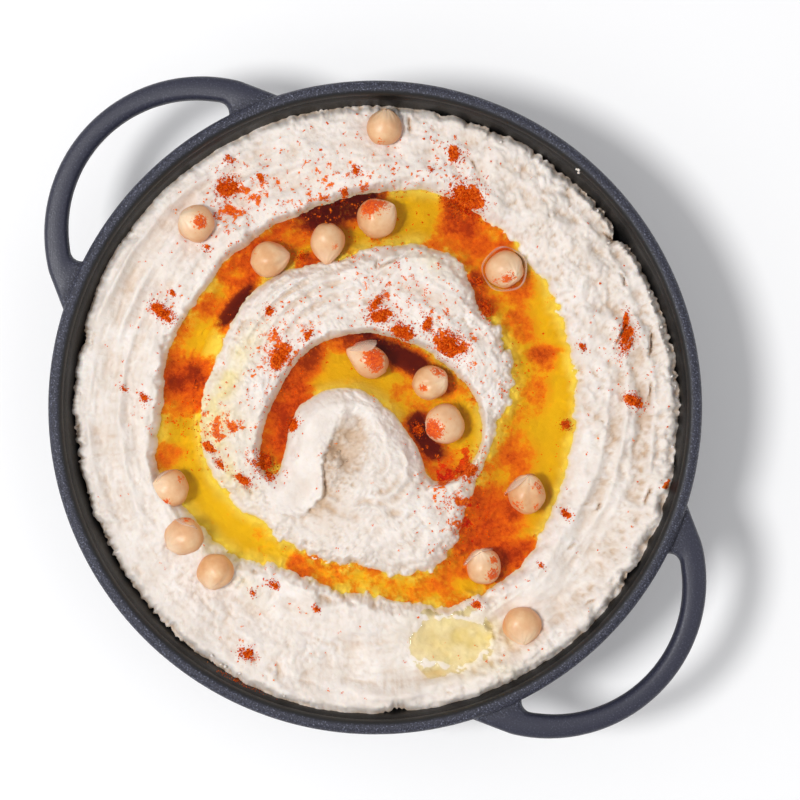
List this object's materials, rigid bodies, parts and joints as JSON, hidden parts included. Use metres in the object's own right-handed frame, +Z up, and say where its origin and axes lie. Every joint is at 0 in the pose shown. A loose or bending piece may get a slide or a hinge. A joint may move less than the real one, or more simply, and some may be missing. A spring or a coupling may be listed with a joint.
{
  "type": "hummus in a serving pan",
  "caption": "Swirled hummus with olive oil pools, paprika and whole chickpeas, filling a round cast-iron serving pan with loop handles.",
  "frame": {"origin": "centre of the pan's flat underside, at the level of what it stands on", "axes": "+Z up; +X through the middle of one loop handle, and the other handle on -X"},
  "size_m": [0.2354, 0.19, 0.047],
  "materials": {
    "iron": "matt dark blue-grey enamel, fine pebbled texture",
    "hummus": "soft crumbly paste, spoon-smoothed",
    "oil": "clear golden oil, reddened by paprika",
    "chickpea": "moist waxy skin",
    "paprika": "ground powder"
  },
  "bodies": {
    "root": {"pan": "iron", "hummus": "hummus", "oil_ring": "oil", "oil_hook": "oil", "oil_patch": "oil", "chickpea_rim_top": "chickpea", "chickpea_rim_left": "chickpea", "chickpea_ring_left": "chickpea", "chickpea_ring_beak": "chickpea", "chickpea_ring_paprika": "chickpea", "chickpea_ring_top": "chickpea", "chickpea_hook_tail": "chickpea", "chickpea_hook_middle": "chickpea", "chickpea_hook_head": "chickpea", "chickpea_ring_right": "chickpea", "chickpea_ring_lower": "chickpea", "chickpea_rim_right": "chickpea", "chickpea_shore_first": "chickpea", "chickpea_shore_middle": "chickpea", "chickpea_shore_last": "chickpea"}
  },
  "joints": []
}
